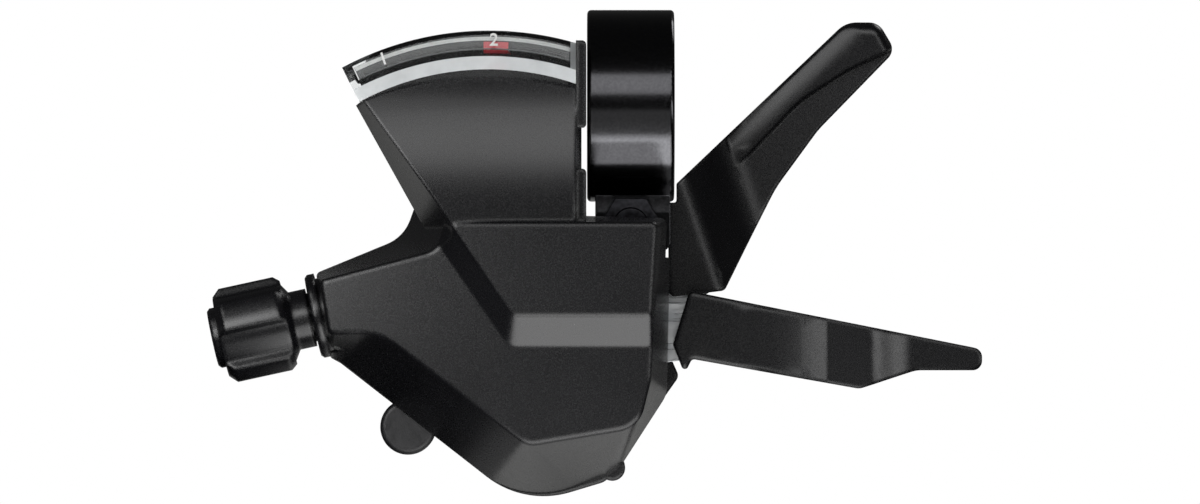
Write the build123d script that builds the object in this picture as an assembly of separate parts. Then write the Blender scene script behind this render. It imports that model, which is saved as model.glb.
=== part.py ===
"""Two-position trigger gear shifter that clamps on a 22.2 mm handlebar.

Millimetres. X runs along the bar towards the levers, Z is up and Y points away from the viewer.
The origin is the middle of the clamp's bore. A depth is counted from the bar's axis towards the
viewer, so depth is -Y, and every outline is drawn as the viewer sees it, in X and Z.
"""
import os
from math import atan, atan2, cos, degrees, hypot, radians, sin, sqrt

from build123d import *

# Handlebar clamp
BAR_R = 11.1
BAND_WALL = 3.0
BAND_WIDTH = 12.8
EAR_WIDTH = 10.4
EAR_LUG = 0.6            # the front ear is wider by this on the levers' side
EAR_DROP = 21.3          # lowest edge of the ears below the bar's axis
EAR_THICK = 4.8
CLAMP_GAP = 1.2          # left between plate and front ear, to be drawn shut by the bolt
CLAMP_BOLT_DROP = 17.6
CLAMP_BOLT_R = 2.5
CLAMP_NUT = 4.0
BOLT_TIP = 0.4           # of the bolt, past its nut

# Depths of the stack on the main axle, back to front
REAR_FACE = -9.8
FLOOR = 1.6
LEVER_PLATE = (-7.6, -5.6)
BASE_PLATE = (-2.6, -1.0)
RELEASE_PLATE = (-0.6, 1.2)
RATCHET = (3.8, 5.4)
REEL = (5.4, 11.0)
SPRING_CAP = (11.1, 11.8)
AXLE_HEAD = (11.8, 12.7)
NEEDLE_ARM = (12.9, 13.7)
PARTING = 3.0            # where the front cover meets the rear housing

# Places of the pivots
MAIN_AXLE = (-10.0, -33.6)
NEEDLE_PIVOT = (-20.7, -34.4)
PAWL_CIRCLE = 13.6       # both pawls pivot on this radius about the main axle
FEED_PAWL_AT = 150.0
HOLD_PAWL_AT = 186.0

# Fits
RUN = 0.06               # radial clearance of a turning bore
SLIDE = 0.10             # radial clearance of a sliding ring
PLAY = 0.30              # between neighbours that pass each other

# Cable and its adjuster
CABLE_R = 0.8
CABLE_DEPTH = (REEL[0] + REEL[1]) / 2
OUTLET = (-45.1, -30.7)  # middle of the outlet's end face
OUTLET_RISE = 12.3       # degrees that the cable line climbs towards the reel
CASING_R = 2.55
CASING_DEPTH = 7.0
KNOB_R = 7.0
KNOB_FLAT = 5.7
KNOB_RIB_HALF = 2.3
KNOB_RIB_TURN = 25.0
KNOB = (5.1, 15.2)       # start and end of the grip along the barrel
NECK_R = 4.3
END_BOSS_R = 4.45
STEM_R = 2.9
STEP_R = 3.6
STEP_AT = -3.0           # shoulder that pushes on the detent ring
RING = 1.2
COLLAR_R = 6.2
COLLAR_FLANGE = 1.4
COLLAR_BODY_R = 5.4
COLLAR_LENGTH = 9.0
COLLAR_FLOOR = 1.5
CHAMBER_R = 4.6

# Winding
INDEX = 43.2             # degrees that the reel turns between the two gears
AXLE_R = 3.0
BUSH_R = 4.2
REEL_R = 12.0
REEL_RIM = 1.3
RATCHET_TIP = 9.4
RATCHET_ROOT = 7.9
DRIVE_PIN_R = 0.9
DRIVE_PIN_AT = 97.0
PIN_R = 1.2              # pawl pins and rivets
KEY_R = 0.9              # pegs that key the ratchet to the reel
KEY_CIRCLE = 6.3
NIPPLE_R = 2.3           # pocket for the cable's end
AXLE_HEAD_R = 5.5
SPRING_CAP_R = 8.8
WASHER = (6.0, 0.8)      # radius and thickness
AXLE_NUT = (5.0, 3.4)    # half its width across flats, and its height
MAIN_HUB_R = 7.2         # the two levers' plates, about the axle
RELEASE_HUB_R = 6.4
MAIN_STROKE = 48.0       # degrees that the thumb lever is pushed

# Torsion springs: coil radius, wire, turns and pitch
REEL_COIL = (6.9, 0.9, 1.6, 1.0)
PAWL_COIL = (1.75, 0.5, 2.0, 0.6)
LEVER_COIL = (6.2, 0.8, 1.75, 0.9)
RELEASE_COIL = (5.5, 0.8, 1.4, 0.85)
DETENT_WIRE = 0.6

# Shell
WALL = 1.8
FACE_DEPTH = 23.0        # the lower flat at X = 0
FACE_SLOPE = 0.089       # it falls back towards the adjuster
PANEL_RISE = 2.4
EDGE = 0.4               # bevel round the flats
TOWER_BACK = 11.4
TOWER_FRONT = 23.0       # the foremost line of the tower, low down, from which it leans back
TOWER_CREST = -15.0      # height of that line
TOWER_BOW = 47.0         # radius of the tower's rounded front
TOWER_DEPTH = 24.5       # where its face outline is drawn
TOWER_WALL = 1.6
TOWER_SIDE = -7.2
CHEEKS = [(-3.4, 9.2), (-17.4, -9.4)]  # the beads on the tower's side, from bottom to top
CHEEK_RISE = 0.7

# Gear window
WINDOW_R = 39.4          # seat of the lens about the needle's pivot
WINDOW_LEFT = -28.3
LENS_FRONT = 20.9
LENS_LIP = 1.9           # height of the lens's clear front edge
LENS_EDGE = 3.4          # and its thickness from front to back
LENS_WALL = 1.3
LENS_RISE = 5.8          # the lens's back edge above its seat
LENS_BACK_R = WINDOW_R + LENS_RISE
LENS_BACK = 12.5
DIAL_GAP = 0.1           # in front of the dial
FLAG_HALF = 2.4          # half the marker's width in degrees
NEEDLE_AT = 1.4          # the marker's bearing in the higher gear
NEEDLE_ELBOW = (19.0, 13.0)  # the stalk's bend: radius, and degrees to the right of the marker

SCREWS = [(-29.3, -24.0), (-24.0, -46.0), (-2.2, -46.0)]
SCREW_R = 1.3
SCREW_HEAD_R = 1.9
SCREW_SINK = 1.0         # of its head, into the housing
SCREW_TIP = 7.0          # depth that it reaches in the cover
SCREW_BOSS_R = 2.4
NEEDLE_BOSS_R = 2.6
NEEDLE_PIN_R = 1.0
NEEDLE_PIN_SINK = 2.4    # of the needle's pin, into its boss
RIVET_TOP = 2.8          # of the release lever's rivets
PLUG = (-32.7, -47.2)
PLUG_R = 4.1
PLUG_SEAT = -2.2
PLUG_HEAD = 4.4
PLUG_STEM = 3.8
BOSS = (-2.7, -53.2)
BOSS_R = 1.9

# Outlines: X, Z and the corner's radius, counter-clockwise
COVER_REAR = [(-31.6, -14.6, 1.0), (-33.3, -19.3, 6.0), (-46.2, -24.6, 0.8), (-44.1, -37.0, 0.8),
              (-42.6, -37.8, 1.0), (-15.6, -58.8, 13.6), (-2.0, -53.8, 5.0), (5.3, -42.5, 4.0),
              (5.9, -16.2, 1.0)]
COVER_FACE = [(-26.3, -17.2, 1.0), (-28.5, -21.2, 3.0), (-45.2, -25.6, 0.8), (-43.9, -33.5, 0.8),
              (-36.6, -33.4, 8.0), (-15.0, -49.7, 3.0), (1.2, -47.0, 4.5), (2.9, -40.0, 6.0),
              (4.1, -17.2, 1.0)]
PANEL_FOOT = [(-26.9, -17.0, 0.9), (-28.4, -21.2, 1.2), (-17.9, -36.2, 2.5), (3.0, -36.2, 0.9),
              (4.6, -17.0, 0.9)]
PANEL_TOP = [(-26.6, -17.1, 0.8), (-25.4, -19.0, 1.0), (-17.3, -31.0, 2.0), (3.0, -31.0, 0.8),
             (3.8, -17.1, 0.8)]
TOWER_REAR_LINE = [(-41.3, 2.0, 0), (-30.6, -17.2, 0), (-27.9, -22.0, 0), (TOWER_SIDE, -22.0, 0),
                   (TOWER_SIDE, 12.0, 0), (-38.0, 12.0, 0)]
TOWER_FACE_LINE = [(-39.3, 2.0, 0), (-25.7, -17.1, 0), (-23.0, -22.0, 0),
                   (TOWER_SIDE - 1.0, -22.0, 0), (TOWER_SIDE - 1.0, 12.0, 0), (-36.5, 12.0, 0)]
HOUSING = [(-31.0, -14.6, 1.0), (-33.3, -19.3, 6.0), (-46.2, -24.6, 0.8), (-44.1, -37.0, 0.8),
           (-42.6, -37.8, 1.0), (-15.6, -58.8, 13.6), (-3.6, -55.2, 2.5), (7.2, -39.9, 1.2),
           (6.2, -37.6, 0.5), (5.9, -22.3, 1.0), (-6.6, -22.3, 1.0), (-6.6, -14.6, 1.0)]
PLATE = [(-29.4, -20.0, 1.0), (-32.4, -22.6, 2.0), (-32.4, -32.0, 3.0), (-28.6, -44.0, 3.0),
         (-18.5, -51.6, 3.0), (-4.0, -50.0, 4.0), (2.6, -42.0, 3.0), (2.6, -25.2, 0.6),
         (4.6, -24.6, 1.0), (4.6, -14.2, 2.0), (-4.6, -14.2, 2.0), (-4.6, -24.8, 0.6),
         (-8.6, -24.8, 0.6), (-8.6, -17.2, 2.0), (-28.6, -17.2, 2.0)]
LEVER_WEB = [(13.9, -27.2, 1.0), (21.6, -12.0, 20.0), (27.9, -3.4, 14.0), (39.4, 8.4, 2.0),
             (36.9, 12.6, 2.4), (32.0, 12.6, 4.0), (6.8, -11.4, 0.4), (6.8, -14.2, 0.4),
             (5.6, -14.2, 0.4), (5.6, -28.2, 1.0)]
LEVER_PAD = [(18.0, -6.6, 6.0), (25.1, 0.9, 20.0), (32.4, 5.6, 6.0), (39.0, 8.6, 0),
             (36.9, 12.6, 2.4), (32.0, 12.6, 4.0), (6.8, -11.4, 0), (6.8, -18.0, 0)]
LEVER_RIVETS = [(8.0, -25.6), (11.2, -25.4)]
RELEASE = [(8.6, -27.2, 0.8), (6.2, -35.1, 0.6), (7.9, -39.4, 0.5), (9.0, -37.2, 0.6),
           (33.6, -41.6, 2.2), (42.0, -38.9, 5.0), (51.7, -38.9, 1.4), (51.7, -35.8, 1.4)]
RELEASE_RIVETS = [(12.0, -32.6), (18.0, -33.2)]

# Side profiles with corner radii: the thumb lever's across its crank and in depth, the finger pad's in
# X and depth
LEVER_ROOT = (8.5, -11.4)
LEVER_LEAN = 18.6        # the lever is cranked back across this direction, to pass behind the bar
WEB_SIDE = [(-20.0, -4.8, 0), (0, -4.8, 4.0), (6.5, -12.6, 8.0), (42.0, -15.8, 0), (42.0, -18.6, 0),
            (8.5, -17.2, 8.0), (0.5, -8.9, 4.0), (-20.0, -8.9, 0)]
PAD_SIDE = [(5.0, -12.0, 0), (42.0, -12.0, 0), (42.0, -23.5, 0), (24.0, -25.5, 10.0), (10.0, -20.0, 8.0),
            (5.0, -13.0, 0)]
MOUTH = (2.0, -46.6)     # left and lower side of the opening that both levers swing in
HOUSING_REACH = 19.8     # the lever's back is cut away this far from the axle, to pass over the floor
PAD_FRONT = -12.4
PAD_CROWN = 1.8          # rounding of the thumb pad's upper edge
PAD_RIDGE = 0.4          # and of its lower one
RELEASE_FRONT = 4.4
RELEASE_EDGE = 0.45
RELEASE_ARM = [(8.6, -27.2, 0.8), (6.2, -35.1, 0.6), (7.9, -39.4, 0.5), (9.0, -37.2, 0.6),
               (33.6, -41.6, 1.6), (35.6, -37.2, 2.2), (33.0, -33.4, 3.5), (28.4, -31.16, 0.6)]
RELEASE_END = 11.0       # radius that the arm's face turns back with
RELEASE_SIDE = [(23.0, RELEASE_PLATE[1], 0), (34.0, -9.0, 2.0), (49.0, -9.0, 3.0), (53.0, -5.0, 3.0),
                (53.0, 0.2, 0), (40.0, 0.4, 9.0), (34.0, 3.4, 0), (23.0, 3.4, 0)]


def front_plane(depth):
    """A plane facing the viewer, at a depth in front of the bar's axis."""
    return Plane(origin=(0, -depth, 0), x_dir=(1, 0, 0), z_dir=(0, -1, 0))


def face_plane(rise):
    """The cover's sloping flat, or a plane that far in front of it."""
    tilt = atan(FACE_SLOPE)
    return Plane(origin=(0, -(FACE_DEPTH + rise), 0), x_dir=(cos(tilt), -sin(tilt), 0),
                 z_dir=(-sin(tilt), -cos(tilt), 0))


def cornered(points, stretch=1.0):
    """A closed outline with its own radius at each corner."""
    path = FilletPolyline(*[(x * stretch, z) for x, z, r in points],
                          radius=[r for x, z, r in points], close=True)
    return make_face(path)


def inset(points, by):
    """An outline with every side moved inwards by the same wall."""
    moved = []
    for i, (x, z, r) in enumerate(points):
        x0, z0, _ = points[i - 1]
        x1, z1, _ = points[(i + 1) % len(points)]
        a, b = hypot(x - x0, z - z0), hypot(x1 - x, z1 - z)
        na = (-(z - z0) / a, (x - x0) / a)
        nb = (-(z1 - z) / b, (x1 - x) / b)
        k = by / (1 + na[0] * nb[0] + na[1] * nb[1])
        convex = (x - x0) * (z1 - z) - (z - z0) * (x1 - x) > 0
        radius = 0 if r == 0 else max(r - by, 0.3) if convex else r + by
        moved.append((x + k * (na[0] + nb[0]), z + k * (na[1] + nb[1]), radius))
    return moved


def slab(outline, back, front):
    """A flat outline made solid between two depths."""
    return extrude(front_plane(back) * outline, front - back)


def post(centre, radius, back, front):
    """A round post that stands towards the viewer."""
    return slab(Pos(*centre) * Circle(radius), back, front)


def block(x0, x1, z0, z1, back, front):
    """A plain block between two heights and two depths."""
    return slab(Pos((x0 + x1) / 2, (z0 + z1) / 2) * Rectangle(x1 - x0, z1 - z0), back, front)


def about(centre, radius, bearing):
    """A point at a radius and a bearing, counted counter-clockwise from +X."""
    return (centre[0] + radius * cos(radians(bearing)), centre[1] + radius * sin(radians(bearing)))


def arm(start, start_r, end, end_r):
    """A tapered arm with round ends, as an outline."""
    return make_hull([*(Pos(*start) * Circle(start_r)).edges(), *(Pos(*end) * Circle(end_r)).edges()])


def around_needle(profile, start, end):
    """Turn a profile of radius and depth about the needle's pivot, between two bearings from up."""
    a = radians(start)
    plane = Plane(origin=(NEEDLE_PIVOT[0], 0, NEEDLE_PIVOT[1]), x_dir=(sin(a), 0, cos(a)),
                  z_dir=(cos(a), 0, -sin(a)))
    axis = Axis((NEEDLE_PIVOT[0], 0, NEEDLE_PIVOT[1]), (0, 1, 0))
    return revolve(plane * make_face(Polyline(*profile, close=True)), axis, end - start)


def coil(centre, back, size, leg_at=0.0):
    """A torsion spring of square wire about an axle, with two straight legs."""
    radius, wire, turns, pitch = size
    path = Helix(pitch, pitch * turns, radius)
    start = Plane(origin=path @ 0, x_dir=(1, 0, 0), z_dir=path % 0)
    body = sweep(start * Rectangle(wire, wire), path, is_frenet=True)
    leg = 1.1 * radius
    tail = extrude(start * Rectangle(wire, wire), -leg)
    end = Plane(origin=path @ 1, x_dir=(path @ 1).normalized() - Vector(0, 0, (path @ 1).normalized().Z),
                z_dir=path % 1)
    nose = extrude(end * Rectangle(wire, wire), leg)
    spring = Pos(0, 0, wire / 2) * (body + tail + nose)
    return front_plane(back) * (Pos(*centre) * (Rot(0, 0, leg_at) * spring))


def clamp():
    """The band, its two ears, the bolt that draws them together and its nut."""
    outer = BAR_R + BAND_WALL
    rear_ear = (BASE_PLATE[0] - EAR_THICK, BASE_PLATE[0])
    front_ear = (BASE_PLATE[1] + CLAMP_GAP, BASE_PLATE[1] + CLAMP_GAP + EAR_THICK)
    band = Rot(0, 90, 0) * Cylinder(outer, BAND_WIDTH)
    band = fillet(band.edges().filter_by(GeomType.CIRCLE), 0.6)
    for (back, front), lug in ((rear_ear, 0), (front_ear, EAR_LUG)):
        band += fillet(block(-EAR_WIDTH / 2, EAR_WIDTH / 2 + lug, -EAR_DROP, -BAR_R, back, front)
                       .edges().filter_by(Axis.Y), 1.2)
    bolt_at = (0, -CLAMP_BOLT_DROP)
    band -= Rot(0, 90, 0) * Cylinder(BAR_R, 2 * BAND_WIDTH)
    band -= block(-BAND_WIDTH, BAND_WIDTH, -EAR_DROP - 1, -BAR_R / 2, rear_ear[1], front_ear[0])
    band -= post(bolt_at, CLAMP_BOLT_R + SLIDE, rear_ear[0] - 1, front_ear[1] + 1)
    head = fillet(post(bolt_at, 1.7 * CLAMP_BOLT_R, rear_ear[0] - 2 * CLAMP_BOLT_R, rear_ear[0])
                  .edges().group_by(Axis.Y)[-1], 0.6)
    bolt = head + post(bolt_at, CLAMP_BOLT_R, rear_ear[0], front_ear[1] + CLAMP_NUT + BOLT_TIP)
    socket = Pos(*bolt_at) * RegularPolygon(0.8 * CLAMP_BOLT_R, 6, major_radius=False)
    bolt -= slab(socket, rear_ear[0] - 2 * CLAMP_BOLT_R - 1, rear_ear[0] - CLAMP_BOLT_R)
    nut = slab(Pos(*bolt_at) * RegularPolygon(1.6 * CLAMP_BOLT_R, 6, major_radius=False)
               - Pos(*bolt_at) * Circle(CLAMP_BOLT_R), front_ear[1], front_ear[1] + CLAMP_NUT)
    return {"clamp_band": band, "clamp_bolt": bolt, "clamp_nut": nut}


def barrel_line():
    """The adjuster's own frame: its Z runs out of the outlet and its Y is nearly up."""
    a = radians(OUTLET_RISE)
    return Plane(origin=(OUTLET[0], -CABLE_DEPTH, OUTLET[1]), x_dir=(0, -1, 0),
                 z_dir=(-cos(a), 0, -sin(a)))


def turned(profile):
    """Turn a profile of radius and height about the adjuster's line."""
    return barrel_line() * revolve(Plane.XZ * make_face(Polyline(*profile, close=True)), Axis.Z, 360)


def adjuster():
    """The barrel, the collar it screws into, and the detent ring and spring between them."""
    collar = turned([(STEM_R + RUN, -COLLAR_LENGTH), (COLLAR_BODY_R, -COLLAR_LENGTH), (COLLAR_BODY_R, 0),
                     (COLLAR_R, 0), (COLLAR_R, COLLAR_FLANGE - 0.4), (COLLAR_R - 0.4, COLLAR_FLANGE),
                     (CHAMBER_R, COLLAR_FLANGE), (CHAMBER_R, COLLAR_FLOOR - COLLAR_LENGTH),
                     (STEM_R + RUN, COLLAR_FLOOR - COLLAR_LENGTH)])
    neck = COLLAR_FLANGE + PLAY
    end = KNOB[1] + 1.2
    barrel = turned([(0, -COLLAR_LENGTH - 1), (STEM_R, -COLLAR_LENGTH - 1), (STEM_R, STEP_AT),
                     (STEP_R, STEP_AT), (STEP_R, neck), (NECK_R, neck), (NECK_R, KNOB[0] - 0.9),
                     (KNOB_FLAT, KNOB[0]), (KNOB_FLAT, KNOB[1]), (END_BOSS_R, KNOB[1]),
                     (END_BOSS_R, end - 0.4), (END_BOSS_R - 0.4, end), (0, end)])
    rib = Rectangle(2 * KNOB_R, 2 * KNOB_RIB_HALF) + Rectangle(2 * KNOB_RIB_HALF, 2 * KNOB_R)
    ribs = extrude(Pos(0, 0, KNOB[0]) * (Rot(0, 0, KNOB_RIB_TURN) * rib), KNOB[1] - KNOB[0])
    envelope = revolve(Plane.XZ * make_face(Polyline(
        (0, KNOB[0] - 0.3), (KNOB_R - 1.0, KNOB[0] - 0.3), (KNOB_R, KNOB[0] + 0.9),
        (KNOB_R, KNOB[1] - 1.1), (KNOB_R - 1.1, KNOB[1]), (0, KNOB[1]), close=True)), Axis.Z, 360)
    barrel += barrel_line() * (ribs & envelope)
    barrel -= barrel_line() * (Pos(0, 0, end - CASING_DEPTH / 2) * Cylinder(CASING_R, CASING_DEPTH))
    barrel -= barrel_line() * Cylinder(CABLE_R + SLIDE, 4 * end)
    ring = turned([(STEM_R + RUN, STEP_AT - RING), (CHAMBER_R - SLIDE, STEP_AT - RING),
                   (CHAMBER_R - SLIDE, STEP_AT), (STEM_R + RUN, STEP_AT)])
    length = STEP_AT - RING - (COLLAR_FLOOR - COLLAR_LENGTH)
    wire = DETENT_WIRE
    path = Helix((length - wire) / 2.5, length - wire, (STEM_R + CHAMBER_R) / 2)
    start = Plane(origin=path @ 0, x_dir=(1, 0, 0), z_dir=path % 0)
    spring = sweep(start * Rectangle(wire, wire), path, is_frenet=True)
    spring = barrel_line() * (Pos(0, 0, COLLAR_FLOOR - COLLAR_LENGTH + wire / 2) * spring)
    return {"adjuster_collar": collar, "adjuster_barrel": barrel, "detent_ring": ring,
            "detent_spring": spring}


def outlet_hole():
    """What the shells leave free for the collar and its flange."""
    flange = Pos(0, 0, COLLAR_R) * Cylinder(COLLAR_R + SLIDE, 2 * COLLAR_R)
    return barrel_line() * (Cylinder(COLLAR_BODY_R, 24) + flange)


def cover_shape(by):
    """The lower body and tower of the front cover, or the hollow inside them for a wall."""
    stretch = 1 / cos(atan(FACE_SLOPE))
    side = by * WALL
    body = loft([front_plane(PARTING - side) * cornered(inset(COVER_REAR, side)),
                 face_plane(-side - EDGE) * cornered(inset(COVER_FACE, side), stretch),
                 face_plane(-side) * cornered(inset(COVER_FACE, side + EDGE), stretch)], ruled=True)
    wall = by * TOWER_WALL
    tower = loft([front_plane(TOWER_BACK - 0.1 * by) * cornered(inset(TOWER_REAR_LINE, wall)),
                  front_plane(TOWER_DEPTH) * cornered(inset(TOWER_FACE_LINE, wall))], ruled=True)
    bow = Pos(0, TOWER_BOW - TOWER_FRONT, TOWER_CREST) * (
        Rot(0, 90, 0) * Cylinder(TOWER_BOW - wall, 200))
    return body, tower & bow


def front_cover():
    """One moulding: drafted body, raised badge panel, and the tower in front of the bar."""
    stretch = 1 / cos(atan(FACE_SLOPE))
    body, tower = cover_shape(0)
    inner_body, inner_tower = cover_shape(1)
    seat = post(NEEDLE_PIVOT, WINDOW_R, TOWER_BACK - 1, TOWER_DEPTH)
    roof = block(TOWER_SIDE - TOWER_WALL / 2, TOWER_SIDE + 1, -20, 20, TOWER_BACK, LENS_FRONT)
    lip = around_needle([(30, LENS_FRONT), (WINDOW_R + LENS_LIP, LENS_FRONT), (LENS_BACK_R, LENS_BACK),
                         (LENS_BACK_R, TOWER_BACK), (30, TOWER_BACK)], -10, 40)
    panel = loft([face_plane(-0.5) * cornered(PANEL_FOOT, stretch),
                  face_plane(PANEL_RISE - EDGE) * cornered(PANEL_TOP, stretch),
                  face_plane(PANEL_RISE) * cornered(inset(PANEL_TOP, EDGE), stretch)], ruled=True)
    shell = body + panel + (tower & (seat + (roof & lip)))
    bosses = [post(at, SCREW_BOSS_R, BASE_PLATE[1], 12) for at in SCREWS]
    bosses.append(post(NEEDLE_PIVOT, NEEDLE_BOSS_R, NEEDLE_ARM[1] + PLAY, 20))
    for ends in CHEEKS:
        cheek = block(TOWER_SIDE - TOWER_WALL / 2, TOWER_SIDE + CHEEK_RISE, *ends, TOWER_BACK, LENS_FRONT)
        shell += fillet(cheek.edges().filter_by(Axis.Y).group_by(Axis.X)[-1], 0.9 * CHEEK_RISE)
    solid_body = body + panel
    foot = slab(cornered(inset(COVER_REAR, WALL + PLAY)), BASE_PLATE[1], PARTING)
    cover = shell - inner_body - inner_tower
    for boss in bosses:
        cover += boss & (solid_body + foot)
    nut_top = BASE_PLATE[1] + CLAMP_GAP + EAR_THICK + CLAMP_NUT
    cover -= block(-BAND_WIDTH / 2 - 0.8, 20, -EAR_DROP - 1, 0, PARTING - 1, nut_top + BOLT_TIP + 0.5)
    cover -= outlet_hole()
    for at in SCREWS:
        cover -= post(at, SCREW_R, -20, SCREW_TIP + 1.0)
    return cover - post(NEEDLE_PIVOT, NEEDLE_PIN_R, 0, NEEDLE_ARM[1] + PLAY + NEEDLE_PIN_SINK)


def rear_housing():
    """The open shell behind, with bosses for the base plate and the lug of the cable port."""
    shell = slab(cornered(HOUSING), REAR_FACE, PARTING)
    shell = fillet(shell.faces().sort_by(Axis.Y)[-1].edges(), 0.9)
    top = REAR_FACE + FLOOR
    lug = post(PLUG, PLUG_R - 0.7, REAR_FACE, PLUG_SEAT) + post(BOSS, BOSS_R, REAR_FACE, PARTING)
    housing = shell + lug - slab(cornered(inset(HOUSING, WALL)), top, PARTING + 1)
    housing -= block(MOUTH[0], 12, MOUTH[1], -20.0, top, PARTING + 1)
    for at in SCREWS:
        housing += post(at, SCREW_BOSS_R, top, BASE_PLATE[0])
        housing -= post(at, SCREW_R + SLIDE, REAR_FACE - 1, BASE_PLATE[0] + 1)
        housing -= post(at, SCREW_HEAD_R + SLIDE, REAR_FACE - 1, REAR_FACE + SCREW_SINK)
    housing -= block(-EAR_WIDTH / 2 - 0.2, 12, -25, -20, -8.0, PARTING + 1)
    housing -= post(MAIN_AXLE, AXLE_R + RUN, REAR_FACE - 1, top + 1)
    housing -= outlet_hole()
    housing -= post(PLUG, PLUG_R + SLIDE, PLUG_SEAT, PARTING + 1)
    return housing - post(PLUG, PLUG_R / 2, PLUG_SEAT - PLUG_STEM - 1.0, 0)


def base_plate():
    """A steel plate that carries the axle and rises into the clamp's split."""
    plate = slab(cornered(PLATE), *BASE_PLATE)
    plate -= post(MAIN_AXLE, AXLE_R + RUN, -20, 20)
    plate -= post((0, -CLAMP_BOLT_DROP), CLAMP_BOLT_R + SLIDE, -20, 20)
    plate -= post(hold_pivot(), PIN_R, -20, 20)
    for at in SCREWS:
        plate -= post(at, SCREW_R + SLIDE, -20, 20)
    first, last = FEED_PAWL_AT + 8, FEED_PAWL_AT - MAIN_STROKE - 8
    way = PIN_R + PLAY
    slot = Pos(*MAIN_AXLE) * (Circle(PAWL_CIRCLE + way) - Circle(PAWL_CIRCLE - way))
    spread = [MAIN_AXLE, about(MAIN_AXLE, 40, first), about(MAIN_AXLE, 40, (first + last) / 2),
              about(MAIN_AXLE, 40, last)]
    return plate - slab(slot & make_face(Polyline(*spread, close=True)), *BASE_PLATE)


def hold_pivot():
    """Where the holding pawl turns, on the base plate."""
    return about(MAIN_AXLE, PAWL_CIRCLE, HOLD_PAWL_AT)


def feed_pivot():
    """Where the feeding pawl turns at rest, on the thumb lever's plate."""
    return about(MAIN_AXLE, PAWL_CIRCLE, FEED_PAWL_AT)


def axle_set():
    """A headed axle through the whole stack, two bushes, the spring's cap, a washer and a nut."""
    top = REAR_FACE + FLOOR
    washer = (REAR_FACE - WASHER[1], REAR_FACE)
    nut = (washer[0] - AXLE_NUT[1], washer[0])
    axle = post(MAIN_AXLE, AXLE_R, nut[0] - 0.8, AXLE_HEAD[0])
    axle += fillet(post(MAIN_AXLE, AXLE_HEAD_R, *AXLE_HEAD).edges().group_by(Axis.Y)[0], 0.3)
    ring = Circle(BUSH_R) - Circle(AXLE_R)
    hexagon = RegularPolygon(AXLE_NUT[0], 6, major_radius=False) - Circle(AXLE_R)
    return {
        "main_axle": axle,
        "rear_bush": slab(Pos(*MAIN_AXLE) * ring, top, BASE_PLATE[0]),
        "front_bush": slab(Pos(*MAIN_AXLE) * ring, BASE_PLATE[1], SPRING_CAP[0]),
        "spring_cap": slab(Pos(*MAIN_AXLE) * (Circle(SPRING_CAP_R) - Circle(AXLE_R)), *SPRING_CAP),
        "axle_washer": slab(Pos(*MAIN_AXLE) * (Circle(WASHER[0]) - Circle(AXLE_R)), *washer),
        "axle_nut": slab(Pos(*MAIN_AXLE) * hexagon, *nut),
    }


def winding():
    """The reel with its drive pin, the ratchet keyed to it, and the spring that lets cable out."""
    line = radians(OUTLET_RISE)
    groove = abs(-sin(line) * (MAIN_AXLE[0] - OUTLET[0]) + cos(line) * (MAIN_AXLE[1] - OUTLET[1]))
    drum = groove - CABLE_R
    reach = hypot(MAIN_AXLE[0] - NEEDLE_PIVOT[0], MAIN_AXLE[1] - NEEDLE_PIVOT[1])
    reel = post(MAIN_AXLE, REEL_R, REEL[0], REEL[0] + REEL_RIM)
    reel += post(MAIN_AXLE, REEL_R, REEL[1] - REEL_RIM, REEL[1])
    reel += post(MAIN_AXLE, drum, *REEL)
    reel -= slab(Pos(*MAIN_AXLE) * (Circle(drum - 1.0) - Circle(BUSH_R + 1.2)), REEL[1] - 2.7, REEL[1])
    nipple = about(MAIN_AXLE, groove - 0.4, -60)
    reel -= post(nipple, NIPPLE_R, REEL[0] + REEL_RIM, REEL[1])
    reel += post(about(MAIN_AXLE, reach, DRIVE_PIN_AT), DRIVE_PIN_R, REEL[1], NEEDLE_ARM[1] + 0.2)
    keys = [about(MAIN_AXLE, KEY_CIRCLE, a) for a in (30, 150, 270)]
    for at in keys:
        reel += post(at, KEY_R, *RATCHET)
    reel -= post(MAIN_AXLE, BUSH_R + RUN, -20, 20)
    points = []
    count = int(360 / INDEX)
    for k in range(count):
        at = 214 + k * INDEX
        points += [about(MAIN_AXLE, RATCHET_TIP, at), about(MAIN_AXLE, RATCHET_ROOT, at + 4),
                   about(MAIN_AXLE, RATCHET_ROOT + 0.5, at + 0.45 * INDEX),
                   about(MAIN_AXLE, RATCHET_TIP, at + INDEX - 7)]
    wheel = slab(make_face(Polyline(*points, close=True)), *RATCHET)
    for at in keys:
        wheel -= post(at, KEY_R, -20, 20)
    wheel -= post(MAIN_AXLE, BUSH_R + RUN, -20, 20)
    spring = coil(MAIN_AXLE, REEL[1] - 2.6, REEL_COIL)
    spring &= slab(Pos(*MAIN_AXLE) * (Circle(drum - 1.1) - Circle(BUSH_R + 1.3)), REEL[1] - 2.7, REEL[1])
    return {"cable_reel": reel, "ratchet_wheel": wheel, "reel_spring": spring}


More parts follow.
